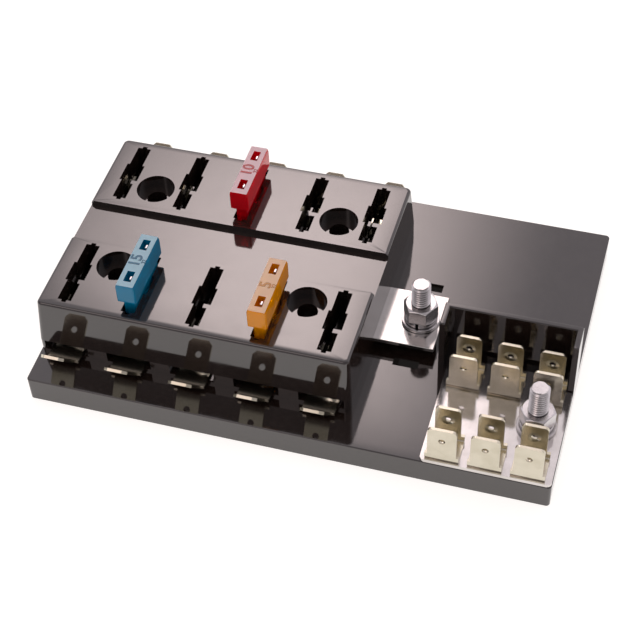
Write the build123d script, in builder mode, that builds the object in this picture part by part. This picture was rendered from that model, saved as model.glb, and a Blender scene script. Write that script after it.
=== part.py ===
"""Blade fuse block: two rows of five fuse ways on a moulded base with a feed stud and a ground bus.

Units are millimetres. The origin is the centre of the base's underside, X runs along the rows
of fuse ways towards the feed stud, Y runs towards the rear row and Z points up.
"""
import math
import os

from build123d import *

# Base plate
base_length = 137.0
base_width = 88.5
base_height = 7.3
base_corner = 1.0
base_wall = 2.2
base_floor = 2.5
rib_thickness = 1.4
rib_cells_x = 11
rib_cells_y = 7

# Block of fuse ways, on the left end of the base
block_length = 84.2
block_width = 67.5
block_corner = 1.5
shelf_height = 0.9
seam_height = 11.3
block_wall = 2.0
cover_height = 11.35
cover_wall = 1.3
cover_roof = 1.8
end_draft = 0.65
side_draft = 1.5
pad_height = 1.55
channel_width = 14.2
channel_offset = -0.65

# Fuse ways
way_count = 5
way_pitch = 17.25
first_way = 7.5
row_offset = 19.5
slot_length = 20.2
slot_width = 3.7
slot_mid_width = 5.0
slot_mid_length = 6.4
slot_nub_width = 1.3
slot_nub_length = 0.7
skirt_wall = 1.2
skirt_bottom = 18.3
ledge_top = 21.2
ledge_width = 2.95
ledge_length = 1.35
divider_thickness = 2.0
divider_top = 14.0
chamber_width = 9.4
chamber_inner = 8.5
partition_thickness = 1.6

# Mounting holes through block and base
mount_spacing_y = 29.9
mount_hole = 5.4
mount_boss = 8.2
counterbore = 10.4
counterbore_depth = 3.7
counterbore_wall = 1.0

# Sheet metal of the terminals
sheet = 0.8
bend_radius = 0.7
blade_thickness = 0.65
blade_width = 5.2
blade_offset = 4.7
blade_grip = 0.05
clip_width = 6.6
clip_waist = 14.8
clip_waist_length = 1.0
clip_top = 17.2
clip_flare = 1.4
tab_width = 6.3
tab_length = 8.7
tab_angle = 52.0
tab_hole = 1.7
tab_hole_from_tip = 4.0
tab_chamfer = 1.1
shoulder_width = 8.5
shoulder_reach = 2.85
window_width = 12.0

# Feed bus bar
bar_thickness = 1.2
bar_width = 20.8
tongue_width = 18.6
tongue_offset = -2.35
tongue_reach = 15.9
ear_width = 7.4
bar_end_gap = 1.5

# Studs and their hardware
stud_diameter = 5.0
stud_relief = 0.25
thread_start = 0.4
stud_head_flats = 8.0
stud_head_height = 3.5
stud_fit = 0.15
washer_diameter = 10.0
washer_thickness = 1.0
spring_washer_diameter = 8.6
spring_washer_thickness = 1.4
spring_washer_gap = 0.7
spring_washer_cut = 20.0
nut_flats = 8.0
nut_height = 4.4
nut_chamfer = 0.4
hardware_fit = 0.1
stud_chamfer = 0.5
feed_stud_from_block = 10.4
feed_stud_y = -2.45
feed_stud_length = 13.5
ground_stud_from_end = 7.0
ground_stud_from_front = 17.0
ground_stud_length = 15.1
feed_boss = 11.0
stud_boss = 13.0

# Ground bus on the right end of the base
plate_thickness = 1.0
plate_width = 32.6
plate_length = 33.8
plate_edge_gap = 0.15
plate_corner = 1.0
ground_pitch = 10.6
ground_from_end = 27.3
ground_rows_from_front = (0.5, 24.1)
ground_span = 7.7
ground_tab_height = 11.9
ground_front_width = 7.2
ground_rear_width = 6.5
ground_tab_round = 1.0
rivet_diameter = 2.4
rivet_head = 4.0
rivet_head_height = 0.9
rivet_fit = 0.05

# Barrier wall behind the ground bus
barrier_thickness = 1.5
barrier_height = 17.6
barrier_from_front = 36.0
barrier_inner_width = 32.0
barrier_return = 6.0
barrier_gap = 0.3

# Slots through the base beside the feed stud
strap_slot_length = 6.7
strap_slot_width = 2.8
strap_slot_from_block = 9.45
strap_slot_offsets = (-12.0, 15.6)
strap_slot_wall = 1.4

# Screws that hold the cover from below
screw_diameter = 3.0
screw_length = 13.0
screw_head = 5.6
screw_head_height = 2.0
screw_fit = 0.05
screw_boss = 6.0
screw_y = 27.0

# Blade fuses
fuse_length = 19.1
fuse_width = 5.1
fuse_head_height = 5.7
fuse_top = 32.9
fuse_body_length = 16.5
fuse_body_width = 3.2
fuse_body_bottom = 21.5
fuse_round = 0.5
fuse_end_round = 1.0
fuse_edge = 0.3
fuse_blade_bottom = 14.0
fuse_blade_top = 30.2
fuse_link_width = 1.2
fuse_link_drop = 5.0
fuse_window_length = 3.6
fuse_window_width = 2.0
fuse_element_fit = 0.05

# Places worked out from the driving dimensions
block_centre_x = (block_length - base_length) / 2
block_right = block_centre_x + block_length / 2
way_x = [first_way - base_length / 2 + i * way_pitch for i in range(way_count)]
shelf_top = base_height + shelf_height
cover_top = seam_height + cover_height
pad_top = cover_top + pad_height
cavity_top = cover_top - cover_roof
mount_x = [(way_x[0] + way_x[1]) / 2, (way_x[-2] + way_x[-1]) / 2]
mount_places = [(x, side * mount_spacing_y / 2) for x in mount_x for side in (-1, 1)]
screw_x = [(way_x[1] + way_x[2]) / 2, (way_x[2] + way_x[3]) / 2]
screw_places = [(x, side * screw_y) for x in screw_x for side in (-1, 1)]
partition_x = [(way_x[i] + way_x[i + 1]) / 2 for i in range(way_count - 1)]
slot_places = [(x, side * row_offset) for x in way_x for side in (-1, 1)]
feed_stud_place = (block_right + feed_stud_from_block, feed_stud_y)
ground_stud_place = (base_length / 2 - ground_stud_from_end, ground_stud_from_front - base_width / 2)
stud_places = [feed_stud_place, ground_stud_place]
strap_slots = [(block_right + strap_slot_from_block, feed_stud_y + offset) for offset in strap_slot_offsets]
plate_top = base_height + plate_thickness
ground_x = [base_length / 2 - ground_from_end + i * ground_pitch for i in range(3)]
ground_y = [start + (ground_span - base_width) / 2 for start in ground_rows_from_front]
ground_feet = [(x, y) for y in ground_y for x in ground_x]
barrier_inner_y = barrier_from_front - base_width / 2
barrier_outer_width = barrier_inner_width + 2 * barrier_thickness
clip_mid = blade_thickness / 2 + blade_grip + sheet / 2
cell_x = (base_length - 2 * base_wall + rib_thickness) / rib_cells_x
cell_y = (base_width - 2 * base_wall + rib_thickness) / rib_cells_y
pocket_depth = base_height - base_floor

os.makedirs("parts", exist_ok=True)


# Base: floor with ribbed underside, plinth of the fuse ways, barrier wall and bosses
with BuildPart() as base:
    with BuildSketch(Plane.XY):
        RectangleRounded(base_length, base_width, base_corner)
    extrude(amount=base_height)
    with BuildSketch(Plane.XY.offset(base_height)):
        with Locations((block_centre_x, 0)):
            RectangleRounded(block_length, block_width, block_corner)
    extrude(amount=seam_height - base_height)
    with BuildSketch(Plane.XY.offset(shelf_top)):
        with Locations((block_centre_x, 0)):
            Rectangle(block_length - 2 * block_wall, block_width - 2 * block_wall)
    extrude(amount=seam_height - shelf_top, mode=Mode.SUBTRACT)
    with BuildSketch(Plane.XY.offset(shelf_top)):
        with Locations(mount_places):
            Rectangle(mount_boss, mount_boss)
        with Locations(screw_places):
            Rectangle(screw_boss, screw_boss)
    extrude(amount=seam_height - shelf_top)
    with BuildSketch(Plane.XY.offset(shelf_top)):
        with Locations([(x, 0) for x in partition_x]):
            Rectangle(partition_thickness, bar_width)
    extrude(amount=seam_height - bar_thickness - shelf_top)
    with BuildSketch(Plane.XY.offset(base_height)):
        with Locations(feed_stud_place):
            Rectangle(feed_boss, feed_boss)
    extrude(amount=seam_height - bar_thickness - base_height)
    with BuildSketch(Plane.XY.offset(base_height)):
        barrier_y = barrier_inner_y + (barrier_thickness - barrier_return) / 2
        barrier_x = (base_length - barrier_outer_width) / 2
        with Locations((barrier_x, barrier_y)):
            Rectangle(barrier_outer_width, barrier_return + barrier_thickness)
        with Locations((barrier_x, barrier_inner_y - barrier_return / 2)):
            Rectangle(barrier_inner_width, barrier_return, mode=Mode.SUBTRACT)
    extrude(amount=barrier_height)
    with BuildSketch(Plane.XY):
        with GridLocations(cell_x, cell_y, rib_cells_x, rib_cells_y):
            Rectangle(cell_x - rib_thickness, cell_y - rib_thickness)
        with Locations(mount_places):
            Rectangle(mount_boss, mount_boss, mode=Mode.SUBTRACT)
        with Locations(screw_places):
            Rectangle(screw_boss + rib_thickness, screw_boss + rib_thickness, mode=Mode.SUBTRACT)
        with Locations(stud_places):
            Rectangle(stud_boss, stud_boss, mode=Mode.SUBTRACT)
        with Locations(strap_slots):
            Rectangle(strap_slot_length + 2 * strap_slot_wall, strap_slot_width + 2 * strap_slot_wall,
                      mode=Mode.SUBTRACT)
        with Locations(ground_feet):
            Rectangle(rivet_head + rib_thickness, rivet_head + rib_thickness)
    extrude(amount=pocket_depth, mode=Mode.SUBTRACT)
    with BuildSketch(Plane.XY):
        with Locations(mount_places):
            Circle(mount_hole / 2)
        with Locations(screw_places):
            Circle(screw_diameter / 2 + screw_fit)
        with Locations(stud_places):
            Circle(stud_diameter / 2 + stud_fit)
        with Locations(strap_slots):
            Rectangle(strap_slot_length, strap_slot_width)
        with Locations(ground_feet):
            Circle(rivet_diameter / 2 + rivet_fit)
    extrude(amount=seam_height, mode=Mode.SUBTRACT)
    with BuildSketch(Plane.XY):
        with Locations(stud_places):
            RegularPolygon(stud_head_flats / 2 + stud_fit, 6, major_radius=False)
        with Locations(screw_places):
            Circle(screw_head / 2 + stud_fit)
    extrude(amount=stud_head_height + stud_fit, mode=Mode.SUBTRACT)
    for side in (-1, 1):
        with BuildSketch(Plane.XY.offset(shelf_top)):
            with Locations([(x, side * (block_width - block_wall) / 2) for x in way_x]):
                Rectangle(window_width, block_wall)
        extrude(amount=seam_height - shelf_top, mode=Mode.SUBTRACT)
    with BuildSketch(Plane.XY.offset(seam_height - bar_thickness)):
        with Locations((block_right - block_wall / 2, tongue_offset)):
            Rectangle(block_wall, tongue_width + 2 * stud_fit)
    extrude(amount=bar_thickness, mode=Mode.SUBTRACT)
base.part.label = "base"
export_step(base.part, "parts/base.step")


def slot_outline():
    """Slot of one fuse way in the open sketch: a slit with a wide middle and a nub at each end."""
    Rectangle(slot_width, slot_length)
    Rectangle(slot_mid_width, slot_mid_length)
    Rectangle(slot_nub_width, slot_length + 2 * slot_nub_length)


# Cover: drafted shell with a channel between two pads, partitions, slot skirts and counterbores
with BuildPart() as cover:
    with BuildSketch(Plane.XY.offset(seam_height)):
        with Locations((block_centre_x, 0)):
            RectangleRounded(block_length, block_width, block_corner)
    with BuildSketch(Plane.XY.offset(pad_top)):
        with Locations((block_centre_x, 0)):
            RectangleRounded(block_length - 2 * end_draft, block_width - 2 * side_draft, block_corner)
    loft(ruled=True)
    with BuildSketch(Plane.XY.offset(pad_top)):
        with Locations((block_centre_x, channel_offset)):
            Rectangle(block_length, channel_width)
    extrude(amount=-pad_height, mode=Mode.SUBTRACT)
    chamber_outer = block_width / 2 - side_draft - cover_wall
    core_width = way_pitch - chamber_width - 2 * partition_thickness
    core_length = chamber_outer - chamber_inner
    centre_length = 2 * (chamber_inner - partition_thickness)
    with BuildSketch(Plane.XY.offset(seam_height)):
        for side in (-1, 1):
            with Locations([(x, side * (chamber_inner + core_length / 2)) for x in way_x]):
                Rectangle(chamber_width, core_length)
            with Locations([(x, side * (chamber_inner + core_length / 2)) for x in partition_x]):
                Rectangle(core_width, core_length)
        with Locations([(x, 0) for x in way_x]):
            Rectangle(chamber_width - partition_thickness, centre_length)
        with Locations([(x, 0) for x in partition_x]):
            Rectangle(core_width, centre_length)
    extrude(amount=cavity_top - seam_height, mode=Mode.SUBTRACT)
    with BuildSketch(Plane.XY.offset(seam_height)):
        with Locations(slot_places):
            Rectangle(chamber_width, divider_thickness)
    extrude(amount=divider_top - seam_height)
    with BuildSketch(Plane.XY.offset(seam_height)):
        with Locations(mount_places):
            Rectangle(mount_boss, mount_boss)
        with Locations(screw_places):
            Rectangle(screw_boss, screw_boss)
    extrude(amount=cavity_top - seam_height)
    cup_floor = pad_top - counterbore_depth - cover_roof
    cup_width = counterbore + 2 * counterbore_wall
    with BuildSketch(Plane.XY.offset(cup_floor)):
        with Locations(mount_places):
            Rectangle(cup_width, cup_width)
    extrude(amount=cavity_top - cup_floor)
    with BuildSketch(Plane.XY.offset(skirt_bottom)):
        with Locations(slot_places):
            Rectangle(slot_width + 2 * skirt_wall, slot_length + 2 * (slot_nub_length + skirt_wall))
            Rectangle(slot_mid_width + 2 * skirt_wall, slot_mid_length + 2 * skirt_wall)
    extrude(amount=cavity_top - skirt_bottom)
    with BuildSketch(Plane.XY.offset(ledge_top)):
        with Locations(slot_places):
            slot_outline()
    extrude(amount=pad_top - ledge_top, mode=Mode.SUBTRACT)
    with BuildSketch(Plane.XY.offset(skirt_bottom)):
        with Locations(slot_places):
            slot_outline()
        ledge_x = (slot_mid_width - ledge_width) / 2
        with Locations([(x + ledge_x, y - ledge_length / 2) for x, y in slot_places]):
            Rectangle(ledge_width, ledge_length, mode=Mode.SUBTRACT)
    extrude(amount=ledge_top - skirt_bottom, mode=Mode.SUBTRACT)
    with BuildSketch(Plane.XY.offset(pad_top)):
        with Locations(mount_places):
            Circle(counterbore / 2)
    extrude(amount=-counterbore_depth, mode=Mode.SUBTRACT)
    with BuildSketch(Plane.XY.offset(pad_top)):
        with Locations(mount_places):
            Circle(mount_hole / 2)
    extrude(amount=seam_height - pad_top, mode=Mode.SUBTRACT)
    with BuildSketch(Plane.XY.offset(seam_height)):
        with Locations(screw_places):
            Circle(screw_diameter / 2 + screw_fit)
    extrude(amount=cover_height - 2 * cover_roof, mode=Mode.SUBTRACT)
cover.part.label = "cover"
export_step(cover.part, "parts/cover.step")


def clip_outline(foot_z):
    """Folded outline of a fuse clip seen along Y: a foot with two leaves that meet at the blade."""
    half = clip_width / 2
    leaf = [
        (half, foot_z),
        (half, foot_z + (clip_waist - foot_z) * 0.4),
        (clip_mid, clip_waist),
        (clip_mid, clip_waist + clip_waist_length),
        (clip_mid + clip_flare - sheet, clip_top),
    ]
    return [(-x, z) for x, z in reversed(leaf)] + leaf


# Output terminals: strip on the shelf, fuse clip at its inner end, tab bent up outside the block
strip_mid = shelf_top + sheet / 2
bend_y = block_width / 2 + shoulder_reach
strip_end = row_offset + blade_offset - blade_width / 2
slope_y = math.cos(math.radians(tab_angle))
slope_z = math.sin(math.radians(tab_angle))
tip_y = bend_y + tab_length * slope_y
tip_z = strip_mid + tab_length * slope_z
for row, side in (("front", -1), ("rear", 1)):
    for number, x in enumerate(way_x, start=1):
        with BuildPart() as terminal:
            with BuildSketch(Plane.YZ.offset(x - shoulder_width / 2)):
                with BuildLine():
                    FilletPolyline((side * strip_end, strip_mid), (side * bend_y, strip_mid),
                                   (side * tip_y, tip_z), radius=bend_radius)
                trace(line_width=sheet)
            extrude(amount=shoulder_width)
            with BuildSketch(Plane.XY):
                middle = side * (strip_end + bend_y) / 2
                with Locations((x, middle)):
                    Rectangle(shoulder_width, bend_y - strip_end)
                with Locations((x, side * (bend_y + tip_y) / 2)):
                    Rectangle(tab_width, tip_y - bend_y + 2 * sheet)
            extrude(amount=fuse_top, mode=Mode.INTERSECT)
            hole_run = tab_length - tab_hole_from_tip
            hole_point = (x, side * (bend_y + hole_run * slope_y), strip_mid + hole_run * slope_z)
            with BuildSketch(Plane(origin=hole_point, x_dir=(1, 0, 0), z_dir=(0, -side * slope_z, slope_y))):
                Circle(tab_hole / 2)
            extrude(amount=sheet, both=True, mode=Mode.SUBTRACT)
            tip_edges = terminal.edges().filter_by(lambda e: abs(e.length - sheet) < 0.01
                                                   and abs(e.center().Z - tip_z) < sheet)
            chamfer(tip_edges, tab_chamfer)
            with BuildSketch(Plane.XZ.offset(-side * (strip_end + blade_width / 2) - blade_width / 2)):
                with BuildLine():
                    Polyline(*[(x + px, pz) for px, pz in clip_outline(strip_mid)])
                trace(line_width=sheet)
            extrude(amount=blade_width)
        terminal.part.label = f"{row}_terminal_{number}"
        export_step(terminal.part, f"parts/{terminal.part.label}.step")


# Feed bus bar: flat bar under the cover with ears and clips, and the tongue that takes the stud
bar_left = block_centre_x - block_length / 2 + block_wall + bar_end_gap
with BuildPart() as bus_bar:
    with BuildSketch(Plane.XY.offset(seam_height - bar_thickness)):
        bar_right = block_right - block_wall - bar_end_gap
        with Locations(((bar_left + bar_right) / 2, 0)):
            Rectangle(bar_right - bar_left, bar_width)
        tongue_length = tongue_reach + block_wall + 2 * bar_end_gap
        with Locations((block_right + tongue_reach - tongue_length / 2, tongue_offset)):
            Rectangle(tongue_length, tongue_width)
        with Locations([(x, 0) for x in way_x]):
            Rectangle(ear_width, 2 * (row_offset - blade_offset) + blade_width)
        with Locations(feed_stud_place):
            Circle(stud_diameter / 2 + stud_fit, mode=Mode.SUBTRACT)
    extrude(amount=bar_thickness)
    for x in way_x:
        for side in (-1, 1):
            clip_y = side * (row_offset - blade_offset)
            with BuildSketch(Plane.XZ.offset(-clip_y - blade_width / 2)):
                with BuildLine():
                    Polyline(*[(x + px, pz) for px, pz in clip_outline(seam_height - sheet / 2)])
                trace(line_width=sheet)
            extrude(amount=blade_width)
bus_bar.part.label = "bus_bar"
export_step(bus_bar.part, "parts/bus_bar.step")


# Studs with washer, spring washer and nut
def stud_hardware(name, place, seat, top):
    """Bolt from below with its hardware stacked on the seat height, and its free thread above the nut."""
    washer_top = seat + washer_thickness
    spring_top = washer_top + spring_washer_thickness
    nut_top = spring_top + nut_height
    thread = stud_diameter / 2
    thread_bottom = nut_top + thread_start
    with BuildPart() as stud:
        with BuildSketch(Plane.XY):
            with Locations(place):
                RegularPolygon(stud_head_flats / 2, 6, major_radius=False)
        extrude(amount=stud_head_height)
        with BuildSketch(Plane.XY.offset(stud_head_height)):
            with Locations(place):
                Circle(thread - stud_relief)
        extrude(amount=thread_bottom - stud_head_height)
        with BuildSketch(Plane.XY.offset(thread_bottom)):
            with Locations(place):
                Circle(thread)
        extrude(amount=top - thread_bottom)
        chamfer(stud.faces().sort_by(Axis.Z)[-1].edges(), stud_chamfer)
    stud.part.label = f"{name}_stud"
    export_step(stud.part, f"parts/{stud.part.label}.step")

    with BuildPart() as washer:
        with BuildSketch(Plane.XY.offset(seat)):
            with Locations(place):
                Circle(washer_diameter / 2)
                Circle(thread + hardware_fit, mode=Mode.SUBTRACT)
        extrude(amount=washer_thickness)
    washer.part.label = f"{name}_washer"
    export_step(washer.part, f"parts/{washer.part.label}.step")

    with BuildPart() as spring_washer:
        with BuildSketch(Plane.XY.offset(washer_top)):
            with Locations(place):
                Circle(spring_washer_diameter / 2)
                Circle(thread + hardware_fit, mode=Mode.SUBTRACT)
            with Locations((place[0], place[1] - spring_washer_diameter / 2)):
                Rectangle(spring_washer_gap, spring_washer_diameter, rotation=spring_washer_cut,
                          mode=Mode.SUBTRACT)
        extrude(amount=spring_washer_thickness)
    spring_washer.part.label = f"{name}_spring_washer"
    export_step(spring_washer.part, f"parts/{spring_washer.part.label}.step")

    with BuildPart() as nut:
        with BuildSketch(Plane.XY.offset(spring_top)):
            with Locations(place):
                RegularPolygon(nut_flats / 2, 6, major_radius=False)
        extrude(amount=nut_height)
        corner = nut_flats / math.sqrt(3)
        with BuildSketch(Plane.XZ.offset(-place[1])):
            with BuildLine():
                Polyline((place[0], spring_top), (place[0] + corner, spring_top),
                         (place[0] + corner, nut_top - nut_chamfer),
                         (place[0] + nut_flats / 2 - nut_chamfer / 2, nut_top), (place[0], nut_top),
                         close=True)
            make_face()
        revolve(axis=Axis((place[0], place[1], 0), (0, 0, 1)), mode=Mode.INTERSECT)
        with BuildSketch(Plane.XY.offset(spring_top)):
            with Locations(place):
                Circle(thread - stud_relief + hardware_fit / 2)
        extrude(amount=nut_height, mode=Mode.SUBTRACT)
    nut.part.label = f"{name}_nut"
    export_step(nut.part, f"parts/{nut.part.label}.step")


stud_hardware("feed", feed_stud_place, seam_height, seam_height + feed_stud_length)
stud_hardware("ground", ground_stud_place, plate_top, plate_top + ground_stud_length)


# Ground plate: sheet on the base with holes for the stud and the rivets
plate_x = base_length / 2 - plate_edge_gap - plate_width / 2
plate_y = -base_width / 2 + plate_edge_gap + plate_length / 2
side_distances = (barrier_thickness, barrier_outer_width - barrier_thickness)
barrier_sides = [base_length / 2 - distance for distance in side_distances]
with BuildPart() as ground_plate:
    with BuildSketch(Plane.XY.offset(base_height)):
        with Locations((plate_x, plate_y)):
            RectangleRounded(plate_width, plate_length, plate_corner)
        with Locations(ground_stud_place):
            Circle(stud_diameter / 2 + stud_fit, mode=Mode.SUBTRACT)
        with Locations(ground_feet):
            Circle(rivet_diameter / 2 + rivet_fit, mode=Mode.SUBTRACT)
        with Locations([(x, barrier_inner_y) for x in barrier_sides]):
            Rectangle(2 * (barrier_thickness + barrier_gap), 2 * (barrier_return + barrier_gap),
                      mode=Mode.SUBTRACT)
    extrude(amount=plate_thickness)
ground_plate.part.label = "ground_plate"
export_step(ground_plate.part, "parts/ground_plate.step")


# Ground terminals: one sheet each, two upright tabs joined by a riveted foot
foot_mid = plate_top + sheet / 2
for number, (x, y) in enumerate(ground_feet, start=1):
    with BuildPart() as ground_terminal:
        with BuildSketch(Plane.YZ.offset(x - shoulder_width / 2)):
            with BuildLine():
                FilletPolyline(
                    (y - ground_span / 2 + sheet / 2, plate_top + ground_tab_height),
                    (y - ground_span / 2 + sheet / 2, foot_mid),
                    (y + ground_span / 2 - sheet / 2, foot_mid),
                    (y + ground_span / 2 - sheet / 2, plate_top + ground_tab_height),
                    radius=bend_radius)
            trace(line_width=sheet)
        extrude(amount=shoulder_width)
        shoulder_top = plate_top + 3 * sheet
        tab_top = plate_top + ground_tab_height
        tab_run = tab_top - shoulder_top
        for side, width in ((-1, ground_front_width), (1, ground_rear_width)):
            with BuildSketch(Plane.XZ.offset(-y)):
                with Locations((x, shoulder_top + tab_run / 2)):
                    Rectangle(shoulder_width + sheet, tab_run)
                with Locations((x, shoulder_top)):
                    RectangleRounded(width, 2 * tab_run, ground_tab_round, mode=Mode.SUBTRACT)
            extrude(amount=-side * ground_span, mode=Mode.SUBTRACT)
        with BuildSketch(Plane.XZ.offset(-y - ground_span)):
            with Locations((x, tab_top - tab_hole_from_tip)):
                Circle(tab_hole / 2)
        extrude(amount=2 * ground_span, mode=Mode.SUBTRACT)
        with BuildSketch(Plane.XY.offset(plate_top)):
            with Locations((x, y)):
                Circle(rivet_diameter / 2 + rivet_fit)
        extrude(amount=sheet, mode=Mode.SUBTRACT)
    ground_terminal.part.label = f"ground_terminal_{number}"
    export_step(ground_terminal.part, f"parts/{ground_terminal.part.label}.step")


# Rivets through terminal foot, plate and base floor
rivet_seat = plate_top + sheet
with BuildPart() as rivets:
    with BuildSketch(Plane.XY.offset(pocket_depth)):
        with Locations(ground_feet):
            Circle(rivet_diameter / 2)
    extrude(amount=rivet_seat - pocket_depth)
    with BuildSketch(Plane.XY.offset(rivet_seat)):
        with Locations(ground_feet):
            Circle(rivet_head / 2)
    extrude(amount=rivet_head_height)
    with BuildSketch(Plane.XY.offset(pocket_depth)):
        with Locations(ground_feet):
            Circle(rivet_head / 2)
    extrude(amount=-rivet_head_height)
rivets.part.label = "ground_rivets"
export_step(rivets.part, "parts/ground_rivets.step")


# Self-tapping screws that hold the cover from below
screw_seat = stud_head_height + stud_fit
with BuildPart() as cover_screws:
    with BuildSketch(Plane.XY.offset(screw_seat)):
        with Locations(screw_places):
            Circle(screw_diameter / 2)
    extrude(amount=screw_length)
    with BuildSketch(Plane.XY.offset(screw_seat)):
        with Locations(screw_places):
            Circle(screw_head / 2)
    extrude(amount=-screw_head_height)
cover_screws.part.label = "cover_screws"
export_step(cover_screws.part, "parts/cover_screws.step")


def fuse_outline(grow):
    """Outline of a fuse element seen along X, as half widths and heights, grown by a clearance."""
    inner = blade_offset - blade_width / 2 - grow
    outer = blade_offset + blade_width / 2 + grow
    link_bottom = fuse_blade_top - fuse_link_drop - grow
    link_top = link_bottom + fuse_link_width + 2 * grow
    top = fuse_blade_top + grow
    right = [(inner, link_bottom), (inner, fuse_blade_bottom), (outer, fuse_blade_bottom),
             (outer, top), (inner, top), (inner, link_top)]
    return right + [(-y, z) for y, z in reversed(right)]


# Blade fuses: moulded housing with test windows, and the metal element inside it
fuse_places = [("red", way_x[2], row_offset), ("blue", way_x[1], -row_offset),
               ("orange", way_x[3], -row_offset)]
for colour, x, y in fuse_places:
    with BuildPart() as housing:
        head_bottom = fuse_top - fuse_head_height
        with BuildSketch(Plane.XY.offset(head_bottom)):
            with Locations((x, y)):
                RectangleRounded(fuse_width, fuse_length, fuse_round)
        extrude(amount=fuse_head_height)
        end_edges = housing.faces().sort_by(Axis.Z)[-1].edges().filter_by(Axis.X)
        chamfer(end_edges, fuse_end_round, fuse_edge)
        with BuildSketch(Plane.XY.offset(fuse_body_bottom)):
            with Locations((x, y)):
                RectangleRounded(fuse_body_width, fuse_body_length, fuse_round)
        extrude(amount=head_bottom - fuse_body_bottom)
        slit = blade_thickness + 2 * fuse_element_fit
        with BuildSketch(Plane.YZ.offset(x - slit / 2)):
            with BuildLine():
                Polyline(*[(y + py, pz) for py, pz in fuse_outline(fuse_element_fit)], close=True)
            make_face()
        extrude(amount=slit, mode=Mode.SUBTRACT)
        with BuildSketch(Plane.XY.offset(fuse_top)):
            with Locations((x, y - blade_offset - 1), (x, y + blade_offset + 1)):
                Rectangle(fuse_window_width, fuse_window_length)
        extrude(amount=fuse_blade_top - fuse_top, mode=Mode.SUBTRACT)
    housing.part.label = f"{colour}_fuse_housing"
    export_step(housing.part, f"parts/{housing.part.label}.step")

    with BuildPart() as element:
        with BuildSketch(Plane.YZ.offset(x - blade_thickness / 2)):
            with BuildLine():
                Polyline(*[(y + py, pz) for py, pz in fuse_outline(0)], close=True)
            make_face()
        extrude(amount=blade_thickness)
    element.part.label = f"{colour}_fuse_element"
    export_step(element.part, f"parts/{element.part.label}.step")
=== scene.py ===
"""Looks of a blade fuse block: black moulded base and cover, plated metal and coloured fuses."""
import math

import bpy
from mathutils import Matrix, Vector


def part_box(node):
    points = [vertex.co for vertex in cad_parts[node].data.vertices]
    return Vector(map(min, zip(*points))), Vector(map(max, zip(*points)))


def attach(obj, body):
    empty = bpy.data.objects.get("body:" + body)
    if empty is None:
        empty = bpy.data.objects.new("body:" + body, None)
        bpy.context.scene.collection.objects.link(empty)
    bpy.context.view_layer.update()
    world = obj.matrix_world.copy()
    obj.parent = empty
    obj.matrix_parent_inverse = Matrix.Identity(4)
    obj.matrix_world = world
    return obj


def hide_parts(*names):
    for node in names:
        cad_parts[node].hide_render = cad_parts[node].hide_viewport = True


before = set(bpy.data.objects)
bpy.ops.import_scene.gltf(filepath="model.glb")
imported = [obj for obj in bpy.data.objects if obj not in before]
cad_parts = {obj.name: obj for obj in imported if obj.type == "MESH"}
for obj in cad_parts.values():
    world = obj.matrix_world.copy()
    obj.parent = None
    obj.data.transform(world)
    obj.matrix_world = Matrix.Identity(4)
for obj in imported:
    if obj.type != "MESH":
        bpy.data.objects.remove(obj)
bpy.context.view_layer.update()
bpy.ops.object.select_all(action="DESELECT")
mm = 0.001

# Camera. A product camera stands in front of the block, a little to the right of its middle and
# high above the panel, and is tilted by a few degrees, so that the fuse rows rise to the left.
focal_pixels = 1557.9
image_pixels = 640
camera_azimuth = math.radians(18.282)
camera_elevation = math.radians(48.065)
camera_roll = math.radians(-2.943)
camera_distance = 422.6 * mm
camera_target = Vector((-2.53, 0.57, 0.0)) * mm

back = Vector((math.sin(camera_azimuth) * math.cos(camera_elevation),
               -math.cos(camera_azimuth) * math.cos(camera_elevation),
               math.sin(camera_elevation)))
level = Vector((0, 0, 1)).cross(back).normalized()
upright = back.cross(level)
right = math.cos(camera_roll) * level + math.sin(camera_roll) * upright
up = -math.sin(camera_roll) * level + math.cos(camera_roll) * upright
camera_data = bpy.data.cameras.new("product_camera")
camera_data.sensor_width = 36
camera_data.lens = focal_pixels / image_pixels * camera_data.sensor_width
camera_data.clip_start = 0.01
camera = bpy.data.objects.new("product_camera", camera_data)
bpy.context.scene.collection.objects.link(camera)
camera.matrix_world = (Matrix.Translation(camera_target + back * camera_distance)
                       @ Matrix((right, up, back)).transposed().to_4x4())
bpy.context.scene.camera = camera

# Studio. The block stands on a lit white table under a dim tent. One large soft box behind and to the
# left shows in the flat tops and fades towards its edges, and a strip in front shows in the bent tabs.
table_size = 3.0
table_drop = 0.05 * mm
table_grey = (0.35, 0.35, 0.35, 1)
table_glow = 0.9
bpy.ops.mesh.primitive_plane_add(size=table_size, location=(0, 0, -table_drop))
table = bpy.context.object
table.name = "white_table"
table_paint = bpy.data.materials.new("white_table_paint")
table_paint.use_nodes = True
table_shader = table_paint.node_tree.nodes["Principled BSDF"]
table_shader.inputs["Base Color"].default_value = table_grey
table_shader.inputs["Roughness"].default_value = 0.9
table_shader.inputs["Specular IOR Level"].default_value = 0.0
table_shader.inputs["Emission Color"].default_value = (1, 0.96, 0.93, 1)
table_shader.inputs["Emission Strength"].default_value = table_glow
table.data.materials.append(table_paint)
bpy.ops.object.select_all(action="DESELECT")

bpy.context.scene.view_settings.view_transform = "Standard"
tent = bpy.data.worlds.new("soft_tent")
tent.use_nodes = True
tent_nodes = tent.node_tree.nodes
tent_links = tent.node_tree.links
tent_glow = tent_nodes["Background"]
sky = tent_nodes.new("ShaderNodeTexCoord")
axes = tent_nodes.new("ShaderNodeSeparateXYZ")
tent_links.new(sky.outputs["Generated"], axes.inputs["Vector"])


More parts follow.
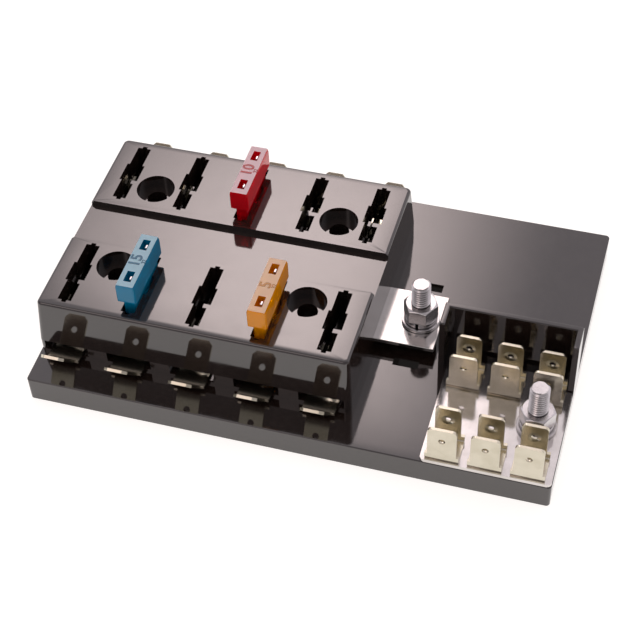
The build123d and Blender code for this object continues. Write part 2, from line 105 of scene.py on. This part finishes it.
def tent_math(operation, first, second):
    """Adds one arithmetic step to the tent's light, from sockets or plain numbers."""
    step = tent_nodes.new("ShaderNodeMath")
    step.operation = operation
    for socket, value in zip(step.inputs, (first, second)):
        if isinstance(value, (int, float)):
            socket.default_value = value
        else:
            tent_links.new(value, socket)
    return step.outputs["Value"]


def tent_ramp(value, start, end, low=0.0, high=1.0):
    """Smooth step from low to high while the value goes from start to end."""
    step = tent_nodes.new("ShaderNodeMapRange")
    step.interpolation_type = "SMOOTHSTEP"
    tent_links.new(value, step.inputs["Value"])
    for name, number in (("From Min", start), ("From Max", end), ("To Min", low), ("To Max", high)):
        step.inputs[name].default_value = number
    return step.outputs["Result"]


# A direction's place in the tent is its run to the right and to the back for each unit of rise.
lowest_rise = 0.05
box_turn = 0.27
box_left = (-0.66, -0.34)
box_right = (-0.31, -0.09)
box_near = (0.626, 0.746)
box_far = (0.93, 1.25)
box_far_light = 0.25
box_strength = 4.9
strip_left = (-0.9, -0.65)
strip_right = (-0.27, -0.18)
strip_near = (-0.95, -0.8)
strip_far = (-0.55, -0.4)
strip_strength = 1.7
tent_turn = (-0.1, 0.3)
tent_front_light = 0.45
tent_back_light = 0.96
rise = tent_math("MAXIMUM", axes.outputs["Z"], lowest_rise)
run_right = tent_math("DIVIDE", axes.outputs["X"], rise)
run_back = tent_math("DIVIDE", axes.outputs["Y"], rise)
slant = tent_math("ADD", run_back, tent_math("MULTIPLY", run_right, box_turn))
box_sides = tent_math("MULTIPLY", tent_ramp(run_right, *box_left), tent_ramp(run_right, *box_right, 1, 0))
box_ends = tent_math("MULTIPLY", tent_ramp(slant, *box_near),
                     tent_ramp(run_back, *box_far, 1, box_far_light))
box_light = tent_math("MULTIPLY", tent_math("MULTIPLY", box_sides, box_ends), box_strength)
behind = tent_ramp(axes.outputs["Y"], *tent_turn, tent_front_light, tent_back_light)
strip_sides = tent_math("MULTIPLY", tent_ramp(run_right, *strip_left),
                        tent_ramp(run_right, *strip_right, 1, 0))
strip_ends = tent_math("MULTIPLY", tent_ramp(run_back, *strip_near), tent_ramp(run_back, *strip_far, 1, 0))
strip_light = tent_math("MULTIPLY", tent_math("MULTIPLY", strip_sides, strip_ends), strip_strength)
tent_links.new(tent_math("ADD", box_light, strip_light), tent_glow.inputs["Strength"])
tent_glow.inputs["Color"].default_value = (1, 0.83, 0.80, 1)
dim_glow = tent_nodes.new("ShaderNodeBackground")
dim_glow.inputs["Color"].default_value = (1, 0.93, 0.98, 1)
tent_links.new(behind, dim_glow.inputs["Strength"])
both = tent_nodes.new("ShaderNodeAddShader")
tent_links.new(tent_glow.outputs["Background"], both.inputs[0])
tent_links.new(dim_glow.outputs["Background"], both.inputs[1])
tent_links.new(both.outputs["Shader"], tent_nodes["World Output"].inputs["Surface"])
bpy.context.scene.world = tent


# Black mouldings. Base and cover are injection moulded in black plastic in polished tools, which leave
# rounded rims, faint flow waves, fine scuffs and dust. The cover stands on the base's plinth and is
# screwed to it from below.
touching = 0.001 * mm
join_distance = 0.002 * mm
flat_angle = math.radians(0.5)
wall_normal = 0.3
top_normal = 0.9
level_fit = 0.02 * mm
level_rise = 0.01 * mm


def new_material(name):
    """Makes a node material and returns it with its nodes, links and main shader."""
    material = bpy.data.materials.new(name)
    material.use_nodes = True
    nodes = material.node_tree.nodes
    return material, nodes, material.node_tree.links, nodes["Principled BSDF"]


def noise(nodes, links, vector, scale, detail=2.0, roughness=0.5):
    """Adds a noise pattern on a vector socket."""
    pattern = nodes.new("ShaderNodeTexNoise")
    pattern.inputs["Scale"].default_value = scale
    pattern.inputs["Detail"].default_value = detail
    pattern.inputs["Roughness"].default_value = roughness
    links.new(vector, pattern.inputs["Vector"])
    return pattern.outputs["Fac"]


def spread(nodes, links, value, low, high, start=0.0, end=1.0):
    """Maps a value from the range start to end to the range low to high."""
    step = nodes.new("ShaderNodeMapRange")
    links.new(value, step.inputs["Value"])
    for name, number in (("From Min", start), ("From Max", end), ("To Min", low), ("To Max", high)):
        step.inputs[name].default_value = number
    return step.outputs["Result"]


def start_group(name, inputs, outputs):
    """Starts a shader node group with named sockets and returns it with its two end nodes."""
    tree = bpy.data.node_groups.new(name, "ShaderNodeTree")
    for side, sockets in (("INPUT", inputs), ("OUTPUT", outputs)):
        for label, kind in sockets.items():
            tree.interface.new_socket(name=label, in_out=side, socket_type=f"NodeSocket{kind}")
    return tree, tree.nodes.new("NodeGroupInput").outputs, tree.nodes.new("NodeGroupOutput").inputs


def use_group(nodes, links, tree, **values):
    """Places a node group in a material with that material's own values and returns its outputs."""
    group = nodes.new("ShaderNodeGroup")
    group.node_tree = tree
    for label, value in values.items():
        if isinstance(value, bpy.types.NodeSocket):
            links.new(value, group.inputs[label])
        else:
            group.inputs[label].default_value = value
    return group.outputs


def solid_copy(node, name):
    """Copies a solid of the frame as one closed mesh with its loose triangles joined."""
    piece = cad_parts[node].copy()
    piece.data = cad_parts[node].data.copy()
    piece.name = name
    piece.data.name = name
    bpy.context.scene.collection.objects.link(piece)
    bpy.ops.object.select_all(action="DESELECT")
    piece.select_set(True)
    bpy.context.view_layer.objects.active = piece
    bpy.ops.mesh.customdata_custom_splitnormals_clear()
    bpy.ops.object.mode_set(mode="EDIT")
    bpy.ops.mesh.select_all(action="SELECT")
    bpy.ops.mesh.remove_doubles(threshold=join_distance)
    bpy.ops.mesh.select_all(action="DESELECT")
    bpy.ops.object.mode_set(mode="OBJECT")
    bpy.context.tool_settings.mesh_select_mode = (False, False, True)
    for face in piece.data.polygons:
        face.select = abs(face.normal.z) < wall_normal
    bpy.ops.object.mode_set(mode="EDIT")
    bpy.ops.mesh.dissolve_limited(angle_limit=flat_angle)
    bpy.ops.mesh.select_all(action="DESELECT")
    bpy.ops.object.mode_set(mode="OBJECT")
    return piece


def round_over(piece, chosen, radius):
    """Rounds the level edges of a piece that chosen accepts.

    Chosen is asked for the edge's middle and the normals of its two faces, the higher one first.
    """
    mesh = piece.data
    faces = {}
    for face in mesh.polygons:
        for key in face.edge_keys:
            faces.setdefault(key, []).append(face.normal.copy())
    for edge in mesh.edges:
        pair = sorted(faces.get(edge.key, ()), key=lambda normal: -normal.z)
        first, second = (mesh.vertices[index].co for index in edge.vertices)
        is_level = abs(first.z - second.z) < level_rise
        edge.select = is_level and len(pair) == 2 and chosen((first + second) / 2, *pair)
    bpy.context.tool_settings.mesh_select_mode = (False, True, False)
    bpy.ops.object.mode_set(mode="EDIT")
    bpy.ops.mesh.bevel(offset=radius, segments=5, profile=0.5, affect="EDGES", loop_slide=False)
    bpy.ops.mesh.select_all(action="DESELECT")
    bpy.ops.object.mode_set(mode="OBJECT")


def finish_copy(piece, node, material, body="block"):
    """Shades a moulded copy, gives it its plastic and lets it stand for its solid."""
    bpy.ops.object.select_all(action="DESELECT")
    piece.select_set(True)
    bpy.context.view_layer.objects.active = piece
    bpy.ops.object.shade_smooth_by_angle(angle=math.radians(30))
    even = piece.modifiers.new("even", "WEIGHTED_NORMAL")
    even.keep_sharp = True
    bpy.ops.object.modifier_apply(modifier="even")
    piece.data.materials.clear()
    piece.data.materials.append(material)
    bpy.ops.object.select_all(action="DESELECT")
    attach(piece, body)
    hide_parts(node)


mottled, given, made = start_group(
    "mottled_colour",
    {"Place": "Vector", "Scale": "Float", "Detail": "Float", "Roughness": "Float", "Start": "Float",
     "End": "Float", "Colour": "Color", "Patches": "Color"},
    {"Colour": "Color", "Height": "Float"})
pattern = mottled.nodes.new("ShaderNodeTexNoise")
mottled.links.new(given["Place"], pattern.inputs["Vector"])
for label in ("Scale", "Detail", "Roughness"):
    mottled.links.new(given[label], pattern.inputs[label])
share = mottled.nodes.new("ShaderNodeMapRange")
mottled.links.new(pattern.outputs["Fac"], share.inputs["Value"])
mottled.links.new(given["Start"], share.inputs["From Min"])
mottled.links.new(given["End"], share.inputs["From Max"])
tone = mottled.nodes.new("ShaderNodeMix")
tone.data_type = "RGBA"
mottled.links.new(share.outputs["Result"], tone.inputs["Factor"])
mottled.links.new(given["Colour"], tone.inputs["A"])
mottled.links.new(given["Patches"], tone.inputs["B"])
mottled.links.new(tone.outputs["Result"], made["Colour"])
mottled.links.new(pattern.outputs["Fac"], made["Height"])

wave_relief = 0.25 * mm
black, nodes, links, shader = new_material("black_moulding")
shader.inputs["IOR"].default_value = 1.81
place = nodes.new("ShaderNodeTexCoord").outputs["Object"]
dust = use_group(nodes, links, mottled, Place=place, Scale=700, Detail=8, Roughness=0.7, Start=0.45,
                 End=0.75, Colour=(0.015, 0.009, 0.007, 1), Patches=(0.026, 0.019, 0.016, 1))
links.new(dust["Colour"], shader.inputs["Base Color"])
scuff = noise(nodes, links, place, 160, 6, 0.65)
links.new(spread(nodes, links, scuff, 0.045, 0.11, 0.35, 0.75), shader.inputs["Roughness"])
wave = noise(nodes, links, place, 42, 1.5, 0.4)
bump = nodes.new("ShaderNodeBump")
bump.inputs["Strength"].default_value = 0.10
bump.inputs["Distance"].default_value = wave_relief
links.new(wave, bump.inputs["Height"])
links.new(bump.outputs["Normal"], shader.inputs["Normal"])
base_top = 7.3 * mm
base_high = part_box("base")[1]
base_rim_reach = 1.2 * mm
base_round = 0.35 * mm
cover_low, cover_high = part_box("cover")
cover_floor = cover_high.z - 1.55 * mm
cover_end_reach = 2.2 * mm
cover_side_reach = 3.4 * mm
cover_round = 0.8 * mm
block_side = cover_high.y + 0.1 * mm


def base_rim(middle, upper, lower):
    """True on the outer edge of the base's top and on the barrier's top edges."""
    if upper.z < top_normal or abs(lower.z) > wall_normal:
        return False
    at_side = abs(middle.y) > base_high.y - base_rim_reach or abs(middle.x) > base_high.x - base_rim_reach
    under_block = middle.x < 0 and abs(middle.y) < block_side
    at_rim = at_side and not under_block and abs(middle.z - base_top) < level_fit
    return at_rim or abs(middle.z - base_high.z) < level_fit


def cover_rim(middle, upper, lower):
    """True on the outer edge of the cover's pads and channel."""
    if upper.z < top_normal or abs(lower.z) > wall_normal:
        return False
    at_end = middle.x < cover_low.x + cover_end_reach or middle.x > cover_high.x - cover_end_reach
    at_side = abs(middle.y) > cover_high.y - cover_side_reach
    return (at_end or at_side) and middle.z > cover_floor - level_fit


for node, rim, radius in (("base", base_rim, base_round), ("cover", cover_rim, cover_round)):
    moulding = solid_copy(node, f"{node}_moulding")
    round_over(moulding, rim, radius)
    finish_copy(moulding, node, black)


# Plated sheet metal. Bus bar and ground plate are punched from brass strip and bright plated, with
# fine rolling lines along the strip. The bar is held under the cover, and the plate lies on the base.
plate_edge = 0.1 * mm
plating_relief = 0.06 * mm


def dress(node, material, edge):
    """Gives a solid its finish and softens its edges by a small round, if edge isn't 0."""
    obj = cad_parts[node]
    obj.data.materials.clear()
    obj.data.materials.append(material)
    weld = obj.modifiers.new("weld", "WELD")
    weld.merge_threshold = touching
    if edge:
        bevel = obj.modifiers.new("edge", "BEVEL")
        bevel.width = edge
        bevel.segments = 2
        bevel.limit_method = "ANGLE"
        bevel.angle_limit = math.radians(35)


plating, given, made = start_group(
    "rolled_plating",
    {"Place": "Vector", "Colour": "Color", "Tarnish": "Color", "Smooth": "Float", "Dull": "Float"},
    {"Colour": "Color", "Roughness": "Float", "Height": "Float"})
cloud = use_group(plating.nodes, plating.links, mottled, Place=given["Place"], Scale=140, Detail=4,
                  Roughness=0.6, Start=0.4, End=0.7, Colour=given["Colour"], Patches=given["Tarnish"])
plating.links.new(cloud["Colour"], made["Colour"])
plating.links.new(cloud["Height"], made["Height"])
squeeze = plating.nodes.new("ShaderNodeMapping")
squeeze.inputs["Scale"].default_value = (60, 900, 900)
plating.links.new(given["Place"], squeeze.inputs["Vector"])
rolled = plating.nodes.new("ShaderNodeMapRange")
lines = noise(plating.nodes, plating.links, squeeze.outputs["Vector"], 3, 3)
plating.links.new(lines, rolled.inputs["Value"])
plating.links.new(given["Smooth"], rolled.inputs["To Min"])
plating.links.new(given["Dull"], rolled.inputs["To Max"])
plating.links.new(rolled.outputs["Result"], made["Roughness"])


def plated_metal(name, colour, tarnish, smooth, dull):
    """Bright plated metal with rolling lines and cloudy patches of tarnish."""
    material, nodes, links, shader = new_material(name)
    shader.inputs["Metallic"].default_value = 1.0
    place = nodes.new("ShaderNodeTexCoord").outputs["Object"]
    finish = use_group(nodes, links, plating, Place=place, Colour=(*colour, 1), Tarnish=(*tarnish, 1),
                       Smooth=smooth, Dull=dull)
    links.new(finish["Colour"], shader.inputs["Base Color"])
    links.new(finish["Roughness"], shader.inputs["Roughness"])
    bump = nodes.new("ShaderNodeBump")
    bump.inputs["Strength"].default_value = 0.12
    bump.inputs["Distance"].default_value = plating_relief
    links.new(finish["Height"], bump.inputs["Height"])
    links.new(bump.outputs["Normal"], shader.inputs["Normal"])
    return material


bright = plated_metal("bright_plate", (0.68, 0.65, 0.63), (0.58, 0.55, 0.52), 0.08, 0.16)
# Painted shade: the bus bar wears a darker copy of the same bright plating.
shaded_bus_metal = plated_metal("shaded_bus_plate", (0.56, 0.54, 0.525), (0.48, 0.46, 0.44), 0.10, 0.20)
dress("bus_bar", shaded_bus_metal, plate_edge)
dress("ground_plate", bright, plate_edge)

# Output and ground terminals. Each is one punched and folded strip of plated brass, a little duller
# and yellower than the plates. The output strips lie on the base's shelf, and the ground terminals are
# riveted to plate and base. Each rear ground tab has a shallow dish pressed round its hole.
tab_edge = 0.2 * mm
rivet_edge = 0.1 * mm
tab_metal = plated_metal("tab_metal", (0.62, 0.585, 0.48), (0.53, 0.49, 0.38), 0.20, 0.24)
for row in ("front", "rear"):
    for number in range(1, 6):
        dress(f"{row}_terminal_{number}", tab_metal, tab_edge)
dish_inner = 0.8 * mm
dish_outer = 1.65 * mm
dish_depth = 0.35 * mm
strip_thickness = 0.8 * mm
hole_drop = 4.0 * mm
punched, given, made = start_group(
    "punched_dish", {"Place": "Vector", "Hole": "Vector"}, {"Height": "Float"})
reach = punched.nodes.new("ShaderNodeVectorMath")
reach.operation = "DISTANCE"
punched.links.new(given["Place"], reach.inputs[0])
punched.links.new(given["Hole"], reach.inputs[1])
slope = spread(punched.nodes, punched.links, reach.outputs["Value"], 0, 1, dish_inner, dish_outer)
punched.links.new(slope, made["Height"])
for number in range(1, 7):
    node = f"ground_terminal_{number}"
    low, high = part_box(node)
    rear_face = high.y - strip_thickness
    # Painted light: each ground terminal's plating is a slightly lighter copy of the tab metal, and its
    # dish is a bump.
    dished_lit_metal = plated_metal(f"dished_lit_tab_metal_{number}", (0.64, 0.60, 0.49), (0.54, 0.50, 0.39),
                          0.20, 0.24)
    nodes = dished_lit_metal.node_tree.nodes
    links = dished_lit_metal.node_tree.links
    dish = use_group(nodes, links, punched, Place=nodes["Texture Coordinate"].outputs["Object"],
                     Hole=((low.x + high.x) / 2, rear_face, high.z - hole_drop))
    press = nodes.new("ShaderNodeBump")
    press.inputs["Strength"].default_value = 1.0
    press.inputs["Distance"].default_value = dish_depth
    links.new(dish["Height"], press.inputs["Height"])
    links.new(press.outputs["Normal"], nodes["Bump"].inputs["Normal"])
    dress(node, dished_lit_metal, tab_edge)
dress("ground_rivets", tab_metal, rivet_edge)

# Studs and nuts. The studs are bolts of zinc plated machine steel with their heads in pockets under the
# base. Each carries a washer, a spring washer and a nut. The thread is rolled. Its grooves and the narrow
# gaps between washer and nut get painted shade: an occlusion mask darkens the steel's colour there.
hardware_edge = 0.12 * mm
recess_reach = 0.6 * mm
painted_recess_shade = (0.04, 0.035, 0.03, 1)
recess_range = (0.2, 0.8)
steel = plated_metal("zinc_steel", (0.60, 0.58, 0.58), (0.48, 0.46, 0.46), 0.18, 0.30)
nodes = steel.node_tree.nodes
links = steel.node_tree.links
# Painted shade: occlusion darkens the steel's colour towards near black in grooves, gaps and corners.
occlusion_shade_mask = nodes.new("ShaderNodeAmbientOcclusion")
occlusion_shade_mask.inputs["Distance"].default_value = recess_reach
shade = nodes.new("ShaderNodeMix")
shade.data_type = "RGBA"
shade.inputs["A"].default_value = painted_recess_shade
links.new(nodes["Group"].outputs["Colour"], shade.inputs["B"])
links.new(spread(nodes, links, occlusion_shade_mask.outputs["AO"], 0, 1, *recess_range), shade.inputs["Factor"])
links.new(shade.outputs["Result"], nodes["Principled BSDF"].inputs["Base Color"])
for end in ("feed", "ground"):
    for part in ("washer", "spring_washer", "nut"):
        dress(f"{end}_{part}", steel, hardware_edge)
dress("cover_screws", steel, 0)
thread_pitch = 0.8 * mm
thread_crest = 2.5 * mm
thread_root = 1.98 * mm
thread_flank = 0.44
thread_flat = 0.12
thread_in_nut = 0.7 * mm
thread_tip = 0.45 * mm
thread_tip_slope = 1.1
thread_sides = 40
thread_crease = math.radians(20)


def threaded_stud(end):
    """Replaces a plain stud by one with a rolled helical thread above its nut."""
    node = f"{end}_stud"
    low, high = (Vector(corner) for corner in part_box(node))
    middle = (low + high) / 2
    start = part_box(f"{end}_nut")[1].z - thread_in_nut
    shank = solid_copy(node, f"{end}_stud_shank")
    bpy.ops.object.mode_set(mode="EDIT")
    bpy.ops.mesh.select_all(action="SELECT")
    bpy.ops.mesh.bisect(plane_co=(0, 0, start), plane_no=(0, 0, 1), use_fill=True, clear_outer=True)
    bpy.ops.object.mode_set(mode="OBJECT")
    bpy.ops.object.select_all(action="DESELECT")
    bpy.ops.mesh.primitive_plane_add(size=thread_pitch, location=(thread_root, 0, 0))
    thread = bpy.context.object
    thread.name = f"{end}_stud_thread"
    bpy.ops.object.transform_apply(location=True, rotation=True, scale=True)
    bpy.context.tool_settings.mesh_select_mode = (True, False, False)
    bpy.ops.object.mode_set(mode="EDIT")
    bpy.ops.mesh.select_all(action="SELECT")
    bpy.ops.mesh.merge(type="CENTER")
    depth = thread_crest - thread_root
    for out, share in ((depth, thread_flank), (0, thread_flat), (-depth, thread_flank)):
        step = {"value": (out, 0, share * thread_pitch)}
        bpy.ops.mesh.extrude_vertices_move(TRANSFORM_OT_translate=step)
    bpy.ops.object.mode_set(mode="OBJECT")
    turns = math.ceil((high.z - start) / thread_pitch) + 2
    screw = thread.modifiers.new("helix", "SCREW")
    screw.axis = "Z"
    screw.screw_offset = thread_pitch
    screw.iterations = turns
    screw.steps = thread_sides
    screw.render_steps = thread_sides
    screw.use_merge_vertices = True
    screw.merge_threshold = touching
    bpy.ops.object.modifier_apply(modifier="helix")
    bpy.ops.object.mode_set(mode="EDIT")
    bpy.ops.mesh.select_all(action="SELECT")
    bpy.ops.transform.translate(value=(middle.x, middle.y, start - thread_pitch))
    bpy.ops.mesh.remove_doubles(threshold=touching)
    bpy.ops.mesh.bisect(plane_co=(0, 0, start), plane_no=(0, 0, -1), use_fill=True, clear_outer=True)
    bpy.ops.mesh.select_all(action="SELECT")
    bpy.ops.mesh.bisect(plane_co=(0, 0, high.z), plane_no=(0, 0, 1), use_fill=True, clear_outer=True)
    bpy.ops.mesh.select_all(action="SELECT")
    bpy.ops.mesh.normals_make_consistent(inside=False)
    bpy.ops.object.mode_set(mode="OBJECT")
    for corner in thread.data.vertices:
        run = Vector((corner.co.x - middle.x, corner.co.y - middle.y))
        limit = thread_crest - max(0.0, corner.co.z - (high.z - thread_tip)) * thread_tip_slope
        if run.length > limit:
            run *= limit / run.length
            corner.co.x = middle.x + run.x
            corner.co.y = middle.y + run.y
    bpy.ops.object.select_all(action="DESELECT")
    shank.select_set(True)
    thread.select_set(True)
    bpy.context.view_layer.objects.active = shank
    bpy.ops.object.join()
    bpy.ops.object.shade_smooth_by_angle(angle=thread_crease)
    shank.data.materials.clear()
    shank.data.materials.append(steel)
    bpy.ops.object.select_all(action="DESELECT")
    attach(shank, "block")
    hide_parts(node)


for end in ("feed", "ground"):
    threaded_stud(end)

# Blade fuses, plugged into the clips under the cover. Each housing is moulded in clear coloured plastic
# round a zinc element. Its top is frosted and carries the rating in clear figures, and two windows in
# it show bright tips of the element. The top's pale colour is a painted reflection of the soft box.
# The second colour of each fuse is its pale top, a painted reflection of the soft box.
fuse_colours = {
    "red": ((0.85, 0.0, 0.012), (0.98, 0.74, 0.76), "10"),
    "blue": ((0.0, 0.25, 0.45), (0.50, 0.78, 0.88), "15"),
    "orange": ((0.95, 0.36, 0.0), (1.0, 0.70, 0.44), "5"),
}
figure_depth = 0.06 * mm
frost_sheen_start = -0.45 * mm
frost_sheen_end = -0.10 * mm
window_offset = 5.7 * mm
tip_size = (0.7 * mm, 1.4 * mm, 0.9 * mm)
tip_round = 0.2 * mm
tip_shift = 0.25 * mm
tip_drop = 1.2 * mm
letter_scale = 1.25
figure_share = 0.35
figure_patch_share = 0.5
grain_relief = 0.06 * mm
frost_and_sheen, given, made = start_group(
    "frosted_sheen_top",
    {"Place": "Vector", "Facing": "Vector", "Top": "Float", "Clear": "Color", "Frosted": "Color"},
    {"Colour": "Color", "Roughness": "Float", "Height": "Float"})
nodes = frost_and_sheen.nodes
links = frost_and_sheen.links
place_axes = nodes.new("ShaderNodeSeparateXYZ")
links.new(given["Place"], place_axes.inputs["Vector"])
facing_axes = nodes.new("ShaderNodeSeparateXYZ")
links.new(given["Facing"], facing_axes.inputs["Vector"])
below_top = nodes.new("ShaderNodeMath")
below_top.operation = "SUBTRACT"
links.new(place_axes.outputs["Z"], below_top.inputs[0])
links.new(given["Top"], below_top.inputs[1])
# Frost and sheen mask: on upward faces near the top the colour turns pale, which is a painted reflection
# of the soft box, and the finish turns rougher, which is real frosting.
frost_sheen_mask = nodes.new("ShaderNodeMath")
frost_sheen_mask.operation = "MULTIPLY"
near_top = spread(nodes, links, below_top.outputs["Value"], 0, 1, frost_sheen_start, frost_sheen_end)
links.new(near_top, frost_sheen_mask.inputs[0])
links.new(spread(nodes, links, facing_axes.outputs["Z"], 0, 1, 0.6, 0.95), frost_sheen_mask.inputs[1])
tone = nodes.new("ShaderNodeMix")
tone.data_type = "RGBA"
links.new(frost_sheen_mask.outputs["Value"], tone.inputs["Factor"])
links.new(given["Clear"], tone.inputs["A"])
links.new(given["Frosted"], tone.inputs["B"])
links.new(tone.outputs["Result"], made["Colour"])
links.new(spread(nodes, links, frost_sheen_mask.outputs["Value"], 0.08, 0.32), made["Roughness"])
links.new(noise(nodes, links, given["Place"], 900, 3), made["Height"])
for colour, (deep, frosted_sheen, figures) in fuse_colours.items():
    node = f"{colour}_fuse_housing"
    low, high = (Vector(corner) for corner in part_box(node))
    middle = (low + high) / 2
    plastic, nodes, links, shader = new_material(f"{colour}_clear_plastic")
    frosty_sheen = use_group(nodes, links, frost_and_sheen, Place=nodes.new("ShaderNodeTexCoord").outputs["Object"],
                       Facing=nodes.new("ShaderNodeNewGeometry").outputs["Normal"], Top=high.z,
                       Clear=(*deep, 1), Frosted=(*frosted_sheen, 1))
    links.new(frosty_sheen["Colour"], shader.inputs["Base Color"])
    links.new(frosty_sheen["Roughness"], shader.inputs["Roughness"])
    shader.inputs["IOR"].default_value = 1.5
    shader.inputs["Transmission Weight"].default_value = 0.35
    shader.inputs["Specular IOR Level"].default_value = 0.3
    grain = nodes.new("ShaderNodeBump")
    grain.inputs["Strength"].default_value = 0.15
    grain.inputs["Distance"].default_value = grain_relief
    links.new(frosty_sheen["Height"], grain.inputs["Height"])
    links.new(grain.outputs["Normal"], shader.inputs["Normal"])
    housing = solid_copy(node, f"{colour}_fuse_moulding")
    for corner in housing.data.vertices:
        corner.select = corner.co.z > high.z - level_fit
    bpy.context.tool_settings.mesh_select_mode = (True, False, False)
    bpy.ops.object.mode_set(mode="EDIT")
    bpy.ops.transform.translate(value=(0, 0, -figure_depth))
    bpy.ops.mesh.select_all(action="DESELECT")
    bpy.ops.object.mode_set(mode="OBJECT")
    finish_copy(housing, node, plastic, f"{colour}_fuse")
    dress(f"{colour}_fuse_element", steel, 0)
    tip_pieces = []
    for side in (-1, 1):
        bpy.ops.object.select_all(action="DESELECT")
        tip_y = middle.y + side * window_offset + tip_shift
        tip_place = (middle.x + tip_shift, tip_y, high.z - tip_drop)
        bpy.ops.mesh.primitive_cube_add(size=1, location=tip_place, scale=tip_size)
        tip_pieces.append(bpy.context.object)
        bpy.ops.object.transform_apply(location=True, rotation=True, scale=True)
        bpy.ops.object.mode_set(mode="EDIT")
        bpy.ops.mesh.select_all(action="SELECT")
        bpy.ops.mesh.bevel(offset=tip_round, segments=2, affect="EDGES")
        bpy.ops.object.mode_set(mode="OBJECT")
    for tip in tip_pieces:
        tip.select_set(True)
    bpy.ops.object.join()
    tips = bpy.context.object
    tips.name = f"{colour}_fuse_test_tips"
    tips.data.materials.append(steel)
    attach(tips, f"{colour}_fuse")

    clear, nodes, links, shader = new_material(f"{colour}_figure_plastic")
    shader.inputs["Roughness"].default_value = 0.25
    tint = use_group(nodes, links, mottled, Place=nodes.new("ShaderNodeTexCoord").outputs["Object"],
                     Scale=600, Detail=2, Roughness=0.5, Start=0, End=1,
                     Colour=(*(part * figure_share for part in deep), 1),
                     Patches=(*(part * figure_patch_share for part in deep), 1))
    links.new(tint["Colour"], shader.inputs["Base Color"])
    for name, words, height, shift, stroke in (("rating", figures, 3.4 * mm, -0.3 * mm, 0.09 * mm),
                                               ("voltage", "32", 1.2 * mm, 1.85 * mm, 0.02 * mm)):
        bpy.ops.object.select_all(action="DESELECT")
        bpy.ops.object.text_add(location=(middle.x + shift, middle.y, high.z - figure_depth / 2),
                                rotation=(0, 0, math.pi / 2))
        label = bpy.context.object
        label.name = f"{colour}_fuse_{name}"
        label.data.body = words
        label.data.size = height * letter_scale
        label.data.align_x = "CENTER"
        label.data.align_y = "CENTER"
        label.data.extrude = figure_depth / 2
        label.data.offset = stroke
        bpy.ops.object.convert(target="MESH")
        bpy.ops.object.transform_apply(location=True, rotation=True, scale=True)
        label.data.materials.clear()
        label.data.materials.append(clear)
        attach(label, f"{colour}_fuse")
bpy.ops.object.select_all(action="DESELECT")
